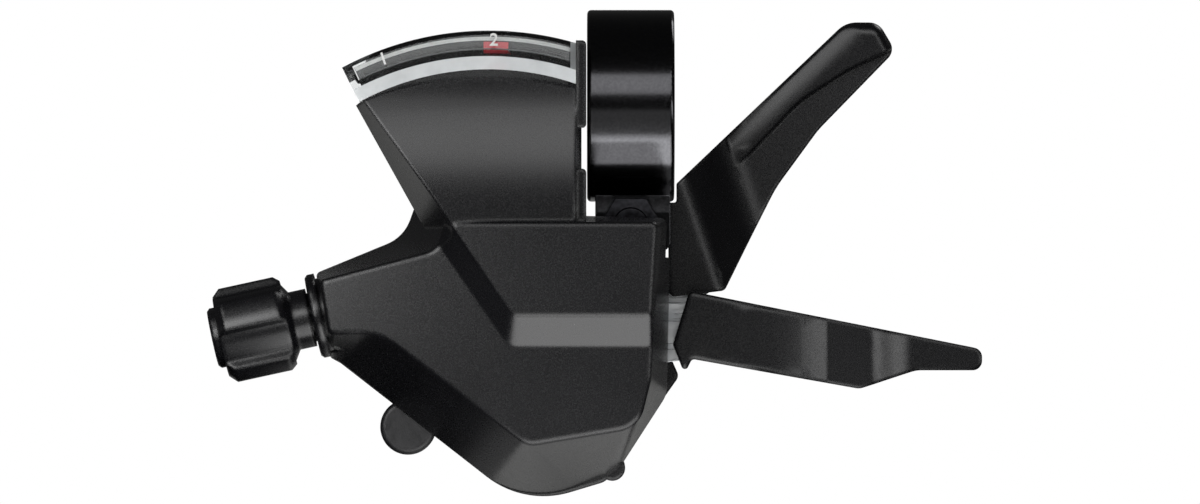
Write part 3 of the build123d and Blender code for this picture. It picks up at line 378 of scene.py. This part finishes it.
def print_on(name, mesh):
    """A printed mark, which rides on the shifter."""
    mark = bpy.data.objects.new(name, mesh)
    scene.collection.objects.link(mark)
    mesh.materials.append(ink)
    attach(mark, "shifter")


shape = bmesh.new()
rows = []
corners = [(LINE_DEPTHS[0], INK[0]), (LINE_DEPTHS[1], INK[0]),
           (LINE_DEPTHS[1], INK[1]), (LINE_DEPTHS[0], INK[1])]
for k in range(LINE_STEPS + 1):
    bearing = LINE_ENDS[0] + (LINE_ENDS[1] - LINE_ENDS[0]) * k / LINE_STEPS
    rows.append([shape.verts.new(about_pivot(dial_r(depth) + lift, bearing, depth))
                 for depth, lift in corners])
for before, after in zip(rows, rows[1:]):
    for k in range(len(corners)):
        shape.faces.new((before[k], before[k - 1], after[k - 1], after[k]))
for end in (rows[0], rows[-1]):
    shape.faces.new(end)
bmesh.ops.recalc_face_normals(shape, faces=shape.faces)
mesh = bpy.data.meshes.new("window_line")
shape.to_mesh(mesh)
shape.free()
print_on("window_line", mesh)

# The figures are printed on the lens's sloping face, and stretched up it so that they look upright.
FIGURE_R, FIGURE_HEIGHT, FONT_PER_FIGURE = 43.7, 1.9, 1.4
FIGURE_INK, FIGURE_BOLD, FIGURE_LIFT = 0.02, 0.03, 0.03
FIGURE_DEPTH = LENS_FRONT - (FIGURE_R - WINDOW_R - LENS_LIP) / SLOPE
for figure, bearing in (("1", -20.5), ("2", 1.0)):
    text = bpy.data.curves.new("figure_" + figure, "FONT")
    text.body, text.align_x, text.align_y = figure, "CENTER", "CENTER"
    text.size, text.extrude, text.offset = FIGURE_HEIGHT * FONT_PER_FIGURE, FIGURE_INK, FIGURE_BOLD
    text.resolution_u = 4
    mesh = plain_mesh(bpy.data.objects.new("figure_maker", text))
    angle = radians(bearing)
    across = Vector((cos(angle), 0, -sin(angle)))
    up = Vector((sin(angle) * SLOPE, 1.0, cos(angle) * SLOPE)).normalized()
    outward = across.cross(up)
    stretch = Matrix.Diagonal((1, 1 / up.dot(Vector((sin(angle), 0, cos(angle)))), 1, 1))
    turn = Matrix((across, up, outward)).transposed().to_4x4()
    seat = about_pivot(FIGURE_R, bearing, FIGURE_DEPTH) + outward * FIGURE_LIFT / 1000
    mesh.transform(Matrix.Translation(seat) @ turn @ Matrix.Scale(0.001, 4) @ stretch)
    print_on("gear_figure_" + figure, mesh)


# Gear window: a clear lens moulded in polycarbonate, which drops on the tower's rim and closes the dial
# in. Its thick front lip and its right end are frosted, and gather light.
clear, tree, shader, place = start_finish("clear_polycarbonate", IOR=1.58)
# A polished mould leaves it glass-clear, with the faintest orange peel. The lip lets little through, so
# that it stands out as a pale band with a soft, cloudy look.
peel = add(tree, "ShaderNodeTexNoise", {"Vector": place, "Scale": per(1.5), "Detail": 1.0})
axes = add(tree, "ShaderNodeSeparateXYZ", {0: place}).outputs
LIP_SKIN = 0.05      # depth of the frosting behind the lip's front
lip = maths(tree, "LESS_THAN", axes["Y"], -(LENS_FRONT - LIP_SKIN) / 1000)
end = maths(tree, "GREATER_THAN", axes["X"], LENS_END / 1000)
frosted = maths(tree, "MAXIMUM", lip, end)
cloudy = add(tree, "ShaderNodeTexNoise", {"Vector": place, "Scale": per(2.2), "Detail": 3.0})
veil = add(tree, "ShaderNodeMix", {"Factor": cloudy.outputs["Fac"], "A": linear("#a2a5a7"),
                                   "B": linear("#c6c9ca")}, data_type="RGBA")
tint = add(tree, "ShaderNodeMix", {"Factor": frosted, "A": linear("#f3f5f5"), "B": veil.outputs["Result"]},
           data_type="RGBA")
tree.links.new(tint.outputs["Result"], shader.inputs["Base Color"])
through = add(tree, "ShaderNodeMapRange", {"Value": frosted, "To Min": 1.0, "To Max": 0.2})
tree.links.new(through.outputs[0], shader.inputs["Transmission Weight"])
rough = add(tree, "ShaderNodeMapRange", {"Value": frosted, "To Min": 0.02, "To Max": 0.3})
matt = maths(tree, "ADD", rough.outputs[0], maths(tree, "MULTIPLY", peel.outputs["Fac"], 0.05))
tree.links.new(matt, shader.inputs["Roughness"])
wear(clear, "indicator_lens")


# Thumb lever: moulded in black nylon over its steel plate, with a smooth, rounded pad for the thumb.
# The finger lever below is the same, riveted to its arm.
polished, tree, shader, place = start_finish("black_nylon_satin", Specular_IOR_Level=0.5)
# The levers' mould is vapour-blasted, so their grain is fainter than the cover's.
grain = add(tree, "ShaderNodeTexNoise", {"Vector": place, "Scale": per(0.25), "Detail": 2.0})
flow = add(tree, "ShaderNodeTexNoise", {"Vector": place, "Scale": per(9.0), "Detail": 2.0})
tones(tree, shader, flow.outputs["Fac"], "#070709", "#0b0b0d")
gloss(tree, shader, grain.outputs["Fac"], 0.24, 0.30)
relief(tree, shader, grain.outputs["Fac"], 0.003, 0.08, 0.8)
wear(polished, "main_lever", "release_lever")

# Both levers are crowned: their fronts fall back from a line in a shallow curve, as far as Low on one side
# of it and High on the other. Across is the direction in which that is measured.
CROWN = bpy.data.node_groups.new("crowned_front", "GeometryNodeTree")
CROWN.interface.new_socket("Geometry", in_out="INPUT", socket_type="NodeSocketGeometry")
CROWN.interface.new_socket("Across", in_out="INPUT", socket_type="NodeSocketVector")
for size in ("Line", "Front", "Radius", "Low", "High"):
    CROWN.interface.new_socket(size, in_out="INPUT", socket_type="NodeSocketFloat")
CROWN.interface.new_socket("Geometry", in_out="OUTPUT", socket_type="NodeSocketGeometry")
sizes = add(CROWN, "NodeGroupInput").outputs
FRONT_SLACK = 0.05 / 1000      # so that points on the front itself are moved too
fine = add(CROWN, "GeometryNodeSubdivideMesh", {"Mesh": sizes["Geometry"], "Level": 2})
spot = add(CROWN, "GeometryNodeInputPosition").outputs[0]
axes = add(CROWN, "ShaderNodeSeparateXYZ", {0: spot}).outputs
reach = add(CROWN, "ShaderNodeVectorMath", {0: spot, 1: sizes["Across"]}, operation="DOT_PRODUCT")
off = maths(CROWN, "SUBTRACT", reach.outputs["Value"], sizes["Line"])
off = maths(CROWN, "MINIMUM", maths(CROWN, "MAXIMUM", off, sizes["Low"]), sizes["High"])
drop = maths(CROWN, "DIVIDE", maths(CROWN, "MULTIPLY", off, off),
             maths(CROWN, "MULTIPLY", sizes["Radius"], 2.0))
deep = maths(CROWN, "MAXIMUM", axes["Y"], maths(CROWN, "ADD", drop, sizes["Front"]))
moved = add(CROWN, "ShaderNodeCombineXYZ", {"X": axes["X"], "Y": deep, "Z": axes["Z"]})
behind = maths(CROWN, "GREATER_THAN", axes["Y"], maths(CROWN, "SUBTRACT", sizes["Front"], FRONT_SLACK))
crowned = add(CROWN, "GeometryNodeSetPosition", {"Geometry": fine.outputs[0], "Selection": behind,
                                                "Position": moved.outputs[0]})
add(CROWN, "NodeGroupOutput", {0: crowned.outputs[0]})

PAD_EDGE = (Vector((6.8, 0, -11.4)), Vector((32.0, 0, 12.6)))  # ends of the thumb pad's upper edge
CREST_BELOW = 3.6                                              # the crest's line lies this far below it
along = (PAD_EDGE[1] - PAD_EDGE[0]).normalized()
across = Vector((-along.z, 0, along.x))
crest = PAD_EDGE[0].dot(across) - CREST_BELOW
for node, values in (
        ("main_lever", {"Across": across, "Line": crest, "Front": 12.4, "Radius": 9.0,
                        "Low": -1.0, "High": 6.0}),
        ("release_lever", {"Across": Vector((1, 0, 0)), "Line": 16.3, "Front": -4.4, "Radius": 42.0,
                           "Low": 0.0, "High": 12.6})):
    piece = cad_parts[node]
    piece.modifiers.new("join", "WELD").merge_threshold = JOIN_WITHIN
    crown = piece.modifiers.new("crown", "NODES")
    crown.node_group = CROWN
    for socket in CROWN.interface.items_tree:
        if socket.name in values:
            value = values[socket.name]
            crown[socket.identifier] = value[:] if socket.name == "Across" else value / 1000
    piece.modifiers.new("shading", "NODES").node_group = SMOOTH


# Cable adjuster: a barrel with a four-ribbed knob, moulded in black acetal, which screws through a
# collar in the outlet. A sprung ring inside gives it its clicks.
knob, tree, shader, place = start_finish("black_acetal_moulded", Specular_IOR_Level=0.5)
# Acetal is a little slicker than the levers' nylon, with a faint flow pattern.
grain = add(tree, "ShaderNodeTexNoise", {"Vector": place, "Scale": per(0.25), "Detail": 2.0})
flow = add(tree, "ShaderNodeTexNoise", {"Vector": place, "Scale": per(6.0), "Detail": 2.0})
tones(tree, shader, flow.outputs["Fac"], "#08080a", "#0d0d0f")
gloss(tree, shader, grain.outputs["Fac"], 0.22, 0.28)
relief(tree, shader, grain.outputs["Fac"], 0.003, 0.08, 0.8)
wear(knob, "adjuster_barrel", "adjuster_collar")

OUTLET = Vector((-45.1, -8.2, -30.7)) / 1000     # middle of the outlet's mouth
OUTLET_FALL = radians(12.3)                      # the barrel's line falls by this angle to the left
DETENT_INSIDE = 7.2 / 1000                       # from the mouth to the start of the spring
outward = Vector((-cos(OUTLET_FALL), 0, -sin(OUTLET_FALL)))
side = Vector((0, -1, 0))
start = OUTLET - outward * DETENT_INSIDE
wind("detent_spring", "shifter",
     Matrix.Translation(start) @ Matrix((side, outward.cross(side), outward)).transposed().to_4x4(),
     radius=3.75, wire=0.6, turns=2.5, pitch=1.08, leg=0.0)


# Front cover: one nylon moulding, with the raised badge panel left bare and the tower in front of the
# bar. Three screws of blackened steel hold it from behind, and a soft plug shuts the cable port.
wear(moulded, "front_cover")
wear(blackened, "cover_screws")

soft, tree, shader, place = start_finish("black_tpe_plug", Specular_IOR_Level=0.4)
# The soft plug is duller, with a dusty bloom.
bloom = add(tree, "ShaderNodeTexNoise", {"Vector": place, "Scale": per(1.2), "Detail": 3.0})
tones(tree, shader, bloom.outputs["Fac"], "#0d0d0f", "#131315")
gloss(tree, shader, bloom.outputs["Fac"], 0.38, 0.5)
wear(soft, "cable_port_plug")


# Studio: a sheet of pale paper, eight soft lamps, two black cards and a white wall behind. The room on
# the camera's side is dark, which is what the black plastic mirrors.
def softbox(name, place, aim, width, height, power):
    """A soft lamp that lights and mirrors, but isn't seen itself."""
    lamp = bpy.data.lights.new(name, "AREA")
    lamp.shape, lamp.size, lamp.size_y, lamp.energy = "RECTANGLE", width, height, power
    box = bpy.data.objects.new(name, lamp)
    box.location = place
    box.rotation_euler = (Vector(aim) - Vector(place)).to_track_quat("-Z", "Y").to_euler()
    box.visible_camera = False
    scene.collection.objects.link(box)


# Place and aim, width and height in metres, and power in watts. The lamp called card stands for the light
# on the clamp's lower edge, which the cover blocks here.
softbox("upper", (0.0, -0.72, 0.34), (0, 0, -0.01), 1.1, 0.34, 3.1)
softbox("lower", (0.0, -0.072, -0.0795), (0, -0.072, 0), 0.09, 0.09, 0.085)
softbox("left", (-0.125, -0.18, 0.015), (-0.06, -0.02, -0.02), 0.08, 0.10, 0.20)
softbox("right", (0.268, -0.283, -0.03), (0.03, 0, -0.036), 0.21, 0.08, 0.20)
softbox("upper_left", (-0.36, -0.30, 0.37), (0.02, 0, -0.01), 0.30, 0.20, 0.60)
softbox("under", (-0.01, 0.035, -0.0795), (-0.01, 0.035, 0), 0.07, 0.07, 0.003)
softbox("back", (0.42, 0.42, 0.50), (0, 0, -0.02), 0.3, 0.3, 1.0)
softbox("card", (0.0005, -0.0195, -0.0158), (0.0005, -0.0195, 0.0), 0.0115, 0.013, 0.0013)


def flat_sheets(name, finish, height, *spans):
    """Flat sheets at one height, each from its left, right, near and far edges."""
    shape = bmesh.new()
    for left, right, near, far in spans:
        corners = ((left, near), (right, near), (right, far), (left, far))
        shape.faces.new([shape.verts.new((x, y, height)) for x, y in corners])
    mesh = bpy.data.meshes.new(name)
    shape.to_mesh(mesh)
    shape.free()
    mesh.materials.append(finish)
    sheets = bpy.data.objects.new(name, mesh)
    scene.collection.objects.link(sheets)
    return sheets


FLOOR, CARD_THICK = -0.080, 0.0003
paper, tree, shader, place = start_finish("white_paper")
# Matt paper, with the faint tooth of its fibres.
tooth = add(tree, "ShaderNodeTexNoise", {"Vector": place, "Scale": per(0.8), "Detail": 3.0})
tones(tree, shader, tooth.outputs["Fac"], "#eeeeec", "#f3f3f1")
gloss(tree, shader, tooth.outputs["Fac"], 0.85, 0.95)
floor = flat_sheets("floor", paper, FLOOR, (-1.2, 1.2, -1.1, 0.7))

felt, tree, shader, place = start_finish("black_felt", Specular_IOR_Level=0.1)
# Two black cards are seen only in mirrored light, so that the cover's lower side walls stay dark.
nap = add(tree, "ShaderNodeTexNoise", {"Vector": place, "Scale": per(0.5), "Detail": 3.0})
tones(tree, shader, nap.outputs["Fac"], "#0c0c0c", "#121212")
gloss(tree, shader, nap.outputs["Fac"], 0.9, 1.0)
cards = flat_sheets("black_cards", felt, FLOOR + CARD_THICK,
                    (-0.40, -0.035, -0.40, 0.10), (0.022, 0.30, -0.40, 0.10))
cards.visible_camera = cards.visible_diffuse = cards.visible_shadow = cards.visible_transmission = False

# The wall is white to the eye and through the lens, but only its middle shows in mirrored light.
WALL_MIDDLE, ROOM = (0.985, 0.998), 0.04
world = bpy.data.worlds.new("studio")
scene.world = world
world.use_nodes = True
tree = world.node_tree
rays = add(tree, "ShaderNodeLightPath").outputs
way = add(tree, "ShaderNodeSeparateXYZ", {0: add(tree, "ShaderNodeTexCoord").outputs["Generated"]})
behind = add(tree, "ShaderNodeMapRange", {"Value": way.outputs["Y"], "From Min": WALL_MIDDLE[0],
                                          "From Max": WALL_MIDDLE[1]})
mirrored = maths(tree, "MULTIPLY", rays["Is Glossy Ray"], behind.outputs[0])
seen = maths(tree, "MAXIMUM", rays["Is Camera Ray"], rays["Is Transmission Ray"])
wall = maths(tree, "MAXIMUM", seen, mirrored)
level = add(tree, "ShaderNodeMapRange", {"Value": wall, "To Min": ROOM, "To Max": 1.0})
back = tree.nodes["Background"]
back.inputs["Color"].default_value = (1, 1, 1, 1)
tree.links.new(level.outputs[0], back.inputs["Strength"])

# The camera looks straight along Y at the middle of the photograph, through a long lens.
EYE = (-0.0045, -1.471, -0.0215)
camera = bpy.data.cameras.new("camera")
camera.lens, camera.sensor_width = 300, 36
camera.clip_start, camera.clip_end = 0.05, 20
eye = bpy.data.objects.new("camera", camera)
eye.location = EYE
eye.rotation_euler = (pi / 2, 0, 0)
scene.collection.objects.link(eye)
scene.camera = eye
